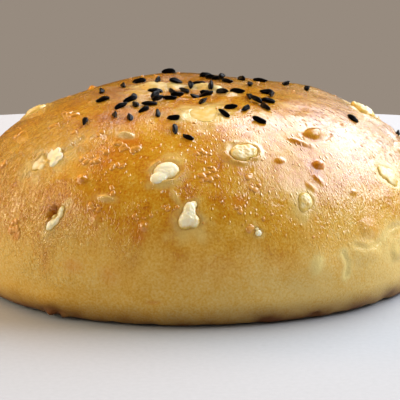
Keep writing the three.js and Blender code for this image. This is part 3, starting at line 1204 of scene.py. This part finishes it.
@dataclass
class Curds:
    """The lumps of white cheese in the crust, one piece for each packed curd.

    Waist is the share of a curd's upper half that stays below the crust.
    """

    finish: Curd
    waist: float = 0.3
    fineness: int = 5
    lump: float = 0.8
    crumb: float = 0.28
    dome_power: float = 0.75
    side_power: float = 0.6
    edge_cream: float = 0.6

    def build(self, bun: Bun) -> None:
        """Builds every curd in its socket.

        Args:
            bun: The bun with its sockets measured.
        """
        material = self.finish.material()
        for order, socket in enumerate(bun.sockets):
            piece = self._curd(socket, bun, order)
            piece.data.materials.append(material)
            finish_piece(piece, Slot.CHEESE, [socket.node])

    def _curd(self, socket: Socket, bun: Bun, order: int) -> bpy.types.Object:
        """Shapes one curd, with steep sides in the dough and a low dome above the crust.

        Args:
            socket: Where it sits.
            bun: The finished bun.
            order: Its number, which varies its lumps.

        Returns:
            The piece.
        """
        bpy.ops.mesh.primitive_ico_sphere_add(subdivisions=self.fineness, radius=1)
        ball = bpy.context.object
        mesh = ball.data
        rays = vertex_vectors(mesh)
        form = socket.form
        broad = rough_field(rays + order * 3.7, self.lump, 2)
        fine = rough_field(rays - order * 2.3, self.crumb, 2)
        u, v, w = (rays * (form.reach(rays) * (1 + 0.04 * broad + form.crumbly * fine))[:, None]).T
        wide, tall = form.spread()
        u, v, w = u / wide * form.size[0], v / tall * form.size[1], w / w.max()
        share = socket.share(bun.points)
        round_it = (share > 1.05) & (share < 1.5)
        surface = float(np.median((bun.points[round_it] - socket.centre) @ socket.outward))
        dome = np.clip((w - self.waist) / (1 - self.waist), 0, 1) ** self.dome_power
        standing = form.proud * MM * dome * (1 + (0.06 + 2.5 * form.crumbly) * fine)
        raised = surface * np.clip(w / self.waist, 0, 1) ** self.side_power + standing
        out = np.where(w > 0, raised, w * socket.half[2])
        across = u * socket.half[0] + form.shift[0] * MM
        up = v * socket.half[1] + form.shift[1] * MM
        world = socket.centre + across[:, None] * socket.across + up[:, None] * socket.upward
        world = world + out[:, None] * socket.outward
        mesh.vertices.foreach_set("co", world.astype(np.float32).ravel())
        mesh.update()
        mesh.shade_smooth()
        ball.name = f"cheese_{socket.node}"
        store(mesh, "cream", smooth(0.75, 0.0, dome) * self.edge_cream + form.cream - 0.08)
        return ball


# What is scattered over the crust


def scatter_tree(name: str, material: bpy.types.Material, shape: Shape) -> bpy.types.NodeTree:
    """Builds the node tree that sets one shape on every point of a mesh and joins them.

    The points carry the attributes turn and size. The shape's own X runs along a seed.

    Args:
        name: The tree's name.
        material: What the shapes are made of.
        shape: Which shape.

    Returns:
        The tree, with inputs Length, Radius, Angularity and Unevenness.
    """
    tree = bpy.data.node_groups.new(name, "GeometryNodeTree")
    face = tree.interface
    face.new_socket("Geometry", in_out="INPUT", socket_type="NodeSocketGeometry")
    for title in ("Length", "Radius", "Angularity", "Unevenness"):
        face.new_socket(title, in_out="INPUT", socket_type="NodeSocketFloat")
    face.new_socket("Geometry", in_out="OUTPUT", socket_type="NodeSocketGeometry")
    graph = Graph(tree)
    add, maths = graph.add, graph.maths
    given = add("NodeGroupInput").outputs

    segments, rings = shape.value
    ball = add("GeometryNodeMeshUVSphere", {"Segments": segments, "Rings": rings, "Radius": 1.0})
    x, y, z = add("ShaderNodeSeparateXYZ", {0: add("GeometryNodeInputPosition").outputs[0]}).outputs
    thrice = maths("MULTIPLY", maths("ARCTAN2", y, x), 3.0)
    corner = maths("MULTIPLY", maths("COSINE", thrice), given["Angularity"])
    belly = maths("SUBTRACT", 1.0, maths("MULTIPLY", z, 0.22))
    girth = maths("MULTIPLY", maths("MULTIPLY", maths("ADD", 1.0, corner), belly), given["Radius"])
    along = maths("MULTIPLY", z, maths("MULTIPLY", given["Length"], 0.5))
    spots = {0: along, 1: maths("MULTIPLY", x, girth), 2: maths("MULTIPLY", y, girth)}
    formed = add("ShaderNodeCombineXYZ", spots).outputs[0]
    body = add("GeometryNodeSetPosition", {"Geometry": ball.outputs["Mesh"], "Position": formed})
    turned, sized = (
        add("GeometryNodeInputNamedAttribute", {"Name": title}, data_type="FLOAT_VECTOR").outputs[0]
        for title in ("turn", "size")
    )
    copies = {
        "Points": given["Geometry"],
        "Instance": body.outputs["Geometry"],
        "Rotation": add("FunctionNodeEulerToRotation", {0: turned}).outputs[0],
        "Scale": sized,
    }
    placed = add("GeometryNodeInstanceOnPoints", copies).outputs["Instances"]
    joined = add("GeometryNodeRealizeInstances", {"Geometry": placed}).outputs["Geometry"]
    lumps = add("ShaderNodeTexNoise", {"Scale": 1 / (1.3 * MM), "Detail": 2.0}).outputs["Color"]
    centred = add("ShaderNodeVectorMath", {0: lumps, 1: (0.5, 0.5, 0.5)}, operation="SUBTRACT").outputs[0]
    offset = {0: centred, "Scale": given["Unevenness"]}
    pushed = add("ShaderNodeVectorMath", offset, operation="SCALE").outputs[0]
    uneven = add("GeometryNodeSetPosition", {"Geometry": joined, "Offset": pushed}).outputs["Geometry"]
    soft = add("GeometryNodeSetShadeSmooth", {"Geometry": uneven}).outputs["Geometry"]
    dressed = add("GeometryNodeSetMaterial", {"Geometry": soft, "Material": material})
    add("NodeGroupOutput", {"Geometry": dressed.outputs["Geometry"]})
    return tree


@dataclass
class Scatter:
    """Copies of one small shape, each at its own point of the crust."""

    name: str
    shape: Shape
    slot: Slot
    material: bpy.types.Material
    length: float
    radius: float
    angularity: float
    unevenness: float
    places: list[Vector] = field(default_factory=list)
    turns: list[Vector] = field(default_factory=list)
    sizes: list[Vector] = field(default_factory=list)
    values: dict[str, list[float]] = field(default_factory=dict)

    def add(self, place: np.ndarray, along: np.ndarray, out: np.ndarray, size: tuple[float, float, float],
            **values: float) -> None:
        """Adds one copy.

        Args:
            place: Its middle.
            along: The direction of its own X.
            out: The direction that its own Z leans to.
            size: Its scale along its own three axes.
            values: Numbers that its finish reads, by name.
        """
        for title, value in values.items():
            self.values.setdefault(title, []).append(value)
        x = Vector(along).normalized()
        z = (Vector(out) - x * x.dot(Vector(out))).normalized()
        basis = Matrix((x, z.cross(x), z)).transposed()
        self.places.append(Vector(place))
        self.turns.append(Vector(basis.to_euler()))
        self.sizes.append(Vector(size))

    def build(self, replaced: list[str] | None = None) -> None:
        """Makes the copies into one plain piece.

        Args:
            replaced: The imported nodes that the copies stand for.
        """
        points = mesh_object(f"{self.name}_points", np.array(self.places), [])
        for title, values in {"turn": self.turns, "size": self.sizes, **self.values}.items():
            store(points.data, title, values)
        tree = scatter_tree(f"{self.name}_on_crust", self.material, self.shape)
        modifier = points.modifiers.new("scatter", "NODES")
        modifier.node_group = tree
        for item in tree.interface.items_tree:
            if item.in_out == "INPUT" and item.name != "Geometry":
                modifier[item.identifier] = getattr(self, item.name.lower())
        graph = bpy.context.evaluated_depsgraph_get()
        mesh = bpy.data.meshes.new_from_object(points.evaluated_get(graph))
        mesh.name = self.name
        bpy.data.objects.remove(points, do_unlink=True)
        piece = bpy.data.objects.new(self.name, mesh)
        bpy.context.scene.collection.objects.link(piece)
        finish_piece(piece, self.slot, replaced)


@dataclass
class Seeds:
    """The nigella seeds: one on each packed seed, and more in the thick patches and on the far side."""

    finish: SeedCoat
    length: float = 3.0 * MM
    radius: float = 0.52 * MM
    angularity: float = 0.28
    unevenness: float = 0.55 * MM
    sunk: float = 0.18 * MM
    flank: float = 12 * MM
    seed: int = 11
    extra: tuple[tuple[float, float, float, float], ...] = (
        (-7.6, -16.8, 35, 0.5), (-8.2, -14.2, 60, 0.3), (-4.2, -6.0, 10, 0.0), (0.6, -5.2, 30, 0.0),
        (3.3, -9.4, 80, 0.0), (12.3, -16.4, -40, 0.4), (15.6, -11.6, 75, 0.3), (5.6, -0.4, 70, 0.7),
        (3.6, 2.4, -20, 0.0), (-12.6, -14.0, 85, 0.0), (11.5, -3.5, 80, 0.0), (43.0, 1.5, 80, 0.0),
        (2.4, -13.4, 15, 0.0), (-2.0, 36.5, -60, 0.0), (-11.0, 35.0, 20, 0.0), (13.0, 37.0, 40, 0.0),
    )  # x, y, heading in degrees, and how far the seed rides up on its neighbours, in millimetres

    def build(self, bun: Bun) -> None:
        """Builds all the seeds as one piece.

        Args:
            bun: The finished bun.
        """
        chance = random.Random(self.seed)
        sizes = (self.length, self.radius, self.angularity, self.unevenness)
        scatter = Scatter("nigella_seeds", Shape.SEED, Slot.SEED, self.finish.material(), *sizes)
        nodes = sorted(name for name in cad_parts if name.startswith("seed_"))
        for node in nodes:
            cloud = node_points(node)
            middle = cloud.mean(0)
            along = np.linalg.svd(cloud - middle, full_matrices=False)[2][0]
            self._lay(scatter, bun, middle, along, 0.0, chance)
        for x, y, heading, lift in self.extra:
            turn = math.radians(heading)
            middle = np.array([x * MM + bun.shift[0], y * MM + bun.shift[1], bun.height])
            along = np.array([math.cos(turn), math.sin(turn), 0.0])
            self._lay(scatter, bun, middle, along, lift * MM, chance)
        scatter.build(nodes)

    def _lay(self, scatter: Scatter, bun: Bun, middle: np.ndarray, along: np.ndarray, lift: float,
             chance: random.Random) -> None:
        """Lays one seed on the crust.

        Args:
            scatter: Where the seed is added.
            bun: The finished bun.
            middle: Roughly where the seed lies.
            along: The direction of its length.
            lift: How far it rides up on its neighbours.
            chance: Draws its small differences.
        """
        flat_distance = np.hypot(*(bun.points[:, :2] - middle[:2]).T)
        number = int(np.where(bun.points[:, 2] < self.flank, np.inf, flat_distance).argmin())
        normal = bun.normals[number]
        # either end forward, along the crust and tipped a little
        if chance.random() < 0.5:
            along = -along
        along = along - normal * (along @ normal)
        along = along / np.linalg.norm(along) + normal * chance.uniform(-0.05, 0.14)
        place = np.array([*middle[:2], bun.points[number][2]])
        place = place + normal * (self.radius - self.sunk + lift)
        roll = chance.uniform(0, 2 * math.pi)
        out = normal * math.cos(roll) + np.cross(normal, along) * math.sin(roll)
        grown = chance.uniform(0.9, 1.12)
        scatter.add(place, along, out, (grown, chance.uniform(0.9, 1.08), chance.uniform(0.85, 1.0)))


@dataclass
class Blisters:
    """Small steam blisters of the crust: some placed, and finer ones strewn at random over it."""

    material: bpy.types.Material
    unevenness: float = 0.25 * MM
    height: float = 0.56
    sunk: float = 0.05
    bake: float = 0.68
    seed: int = 5
    strewn: int = 150
    placed: tuple[tuple[float, float, float], ...] = (
        (-152.4, 40.3, 1.1), (-147.5, 40.7, 1.4), (-148.2, 34.2, 1.2), (-160.3, 27.5, 1.3),
        (-152, 19.5, 1.4), (-135, 34.4, 1.0), (-123.4, 35.3, 1.1), (-115, 31.9, 1.1),
        (-112.7, 31.1, 1.0), (-118, 29, 1.2), (-122.7, 25.9, 1.2), (-120.7, 25.6, 0.9),
        (-118.4, 26.1, 1.1), (-113.1, 24.8, 1.2), (-111.8, 25.2, 0.9), (-114.5, 13.8, 1.0),
        (-135.5, 6.3, 1.3), (-136.2, 7.6, 0.9), (-110.2, 18.7, 0.9), (-108.9, 30.5, 1.3),
        (-89.9, 31, 1.3), (-88.4, 31.2, 0.9), (-86.5, 29.5, 1.0), (-87.6, 22.1, 1.2),
        (-86.2, 22.4, 0.9), (-84.9, 25.2, 0.9), (-102.4, 12.7, 0.9), (-102.9, 11.9, 0.8),
        (-80, 14.5, 0.9), (-75.5, 19.7, 1.0), (-76.1, 22.9, 1.1), (-75.4, 10.7, 1.1),
        (-95.6, 15.4, 0.8), (-73, 12, 0.7),
    )  # azimuth and elevation in degrees from the heart, and width in millimetres

    def build(self, bun: Bun) -> None:
        """Builds all the blisters as one piece.

        Args:
            bun: The finished bun.
        """
        chance = random.Random(self.seed)
        sizes = (1 * MM, 0.5 * MM, 0.0, self.unevenness)
        scatter = Scatter("crust_blisters", Shape.BLISTER, Slot.CRUST, self.material, *sizes)
        for azimuth, elevation, width in self.placed:
            for _ in range(chance.randint(2, 4)):
                aside = (chance.gauss(0, 0.9), chance.gauss(0, 0.5))
                number = bun.nearest(azimuth + aside[0], elevation + aside[1])
                self._swell(scatter, bun, number, width * chance.uniform(0.7, 1.4), chance)
        for _ in range(self.strewn):
            azimuth = chance.uniform(-180, 180)
            elevation = math.degrees(math.asin(chance.uniform(0.05, 0.95)))
            number = bun.nearest(azimuth, elevation)
            self._swell(scatter, bun, number, chance.uniform(0.3, 0.65), chance)
        scatter.build()

    def _swell(self, scatter: Scatter, bun: Bun, number: int, width: float, chance: random.Random) -> None:
        """Adds one blister, more than half sunk in the crust and toned like it.

        Args:
            scatter: Where the blister is added.
            bun: The finished bun.
            number: The vertex that it sits on.
            width: Its width in millimetres.
            chance: Draws its small differences.
        """
        across, _, normal = bun.axes_at(number, chance.uniform(0, math.pi))
        size = (width * chance.uniform(1.0, 1.5), width, self.height * width)
        place = bun.points[number] - normal * self.sunk * width * MM
        bake, glaze = bun.masks["bake"][number] * self.bake, bun.masks["glaze"][number]
        scatter.add(place, across, normal, size, bake=bake, glaze=glaze, blush=0.5, pale=0.1)


# The studio


@dataclass(frozen=True)
class Panel:
    """A soft light that faces the bun.

    Azimuth and elevation are in degrees, distance and size in metres, power in watts, and colour is sRGB.
    """

    name: str
    azimuth: float
    elevation: float
    distance: float
    size: tuple[float, float]
    power: float
    colour: str

    def hang(self, target: Vector) -> None:
        """Hangs the light.

        Args:
            target: What it faces.
        """
        data = bpy.data.lights.new(self.name, "AREA")
        data.shape = "RECTANGLE"
        data.size, data.size_y = self.size
        data.energy = self.power
        data.color = linear(self.colour)[:3]
        lamp = bpy.data.objects.new(self.name, data)
        place_facing(lamp, target, direction(self.azimuth, self.elevation), self.distance)


def place_facing(thing: bpy.types.Object, target: Vector, out: np.ndarray, distance: float) -> None:
    """Places a light or camera so that it looks at a target.

    Args:
        thing: The light or camera.
        target: What it looks at.
        out: The direction from the target to it.
        distance: How far away it is.
    """
    bpy.context.scene.collection.objects.link(thing)
    away = Vector(out)
    thing.location = target + away * distance
    thing.rotation_mode = "QUATERNION"
    thing.rotation_quaternion = (-away).to_track_quat("-Z", "Y")


@dataclass
class Studio:
    """A plain pale floor, soft lights and the camera."""

    floor_radius: float = 0.212
    floor_sides: int = 96
    floor_tones: tuple[tuple[float, str], ...] = ((0.0, "#a8abaf"), (1.0, "#b3b6ba"))
    floor_grain: float = MM / 0.9
    floor_roughness: float = 0.85
    backdrop: str = "#978b7f"
    room_light: str = "#bab4ab"
    room_mirrored: str = "#544028"
    target: Vector = field(default_factory=lambda: Vector((0.5 * MM, 0.0, 16.05 * MM)))
    distance: float = 0.45
    elevation: float = 12
    lens: float = 188.5
    lit_point: Vector = field(default_factory=lambda: Vector((0.0, 0.0, 20 * MM)))
    panels: tuple[Panel, ...] = (
        Panel("window", 27, 42, 0.75, (1.12, 0.66), 14.8, "#eef4ff"),
        Panel("left_lamp", 178, 19, 0.8, (0.8, 0.3), 4.6, "#fff0d0"),
        Panel("rear_lamp", 138, 37, 0.8, (0.55, 0.4), 2.3, "#ffb458"),
    )

    def build(self) -> None:
        """Sets the camera, floor, lights and surroundings."""
        self._camera()
        self._floor()
        self._surroundings()
        for panel in self.panels:
            panel.hang(self.lit_point)

    def _camera(self) -> None:
        """Sets the camera level with the bun's shoulder, in front of it."""
        data = bpy.data.cameras.new("camera")
        data.lens = self.lens
        data.clip_start = 0.05
        data.clip_end = 20
        camera = bpy.data.objects.new("camera", data)
        rise = math.radians(self.elevation)
        place_facing(camera, self.target, (0, -math.cos(rise), math.sin(rise)), self.distance)
        bpy.context.scene.camera = camera

    def _floor(self) -> None:
        """Lays the round floor."""
        turns = [2 * math.pi * i / self.floor_sides for i in range(self.floor_sides)]
        rim = [(self.floor_radius * math.cos(a), self.floor_radius * math.sin(a), 0.0) for a in turns]
        floor = mesh_object("floor", np.array(rim), [range(self.floor_sides)])
        material, graph, place = new_material("matte_white_board")
        colour = graph.ramp(graph.noise(place, self.floor_grain, 3), *self.floor_tones)
        graph.surface({"Base Color": colour, "Roughness": self.floor_roughness})
        floor.data.materials.append(material)

    def _surroundings(self) -> None:
        """Sets a warm grey backdrop, and a room that lights softly but reflects dark."""
        world = bpy.data.worlds.new("grey_studio")
        world.use_nodes = True
        world.node_tree.nodes.clear()
        graph = Graph(world.node_tree)
        seen, lit, mirrored = (
            graph.add("ShaderNodeBackground", {"Color": linear(shade)}).outputs[0]
            for shade in (self.backdrop, self.room_light, self.room_mirrored)
        )
        paths = graph.add("ShaderNodeLightPath").outputs
        room = graph.add("ShaderNodeMixShader", {0: paths["Is Glossy Ray"], 1: lit, 2: mirrored}).outputs[0]
        mix = graph.add("ShaderNodeMixShader", {0: paths["Is Camera Ray"], 1: room, 2: seen}).outputs[0]
        graph.add("ShaderNodeOutputWorld", {"Surface": mix})
        bpy.context.scene.world = world
        bpy.context.scene.view_settings.view_transform = "Standard"


def main() -> None:
    """Builds the pastry and the studio round it."""
    logging.basicConfig(level=logging.INFO, format="%(name)s: %(message)s")
    Studio().build()
    bun = Bun(Crust())
    bun.build(CURD_FORMS)
    Curds(Curd()).build(bun)
    Seeds(SeedCoat()).build(bun)
    Blisters(bun.piece.data.materials[0]).build(bun)


if __name__ == "__main__":
    main()
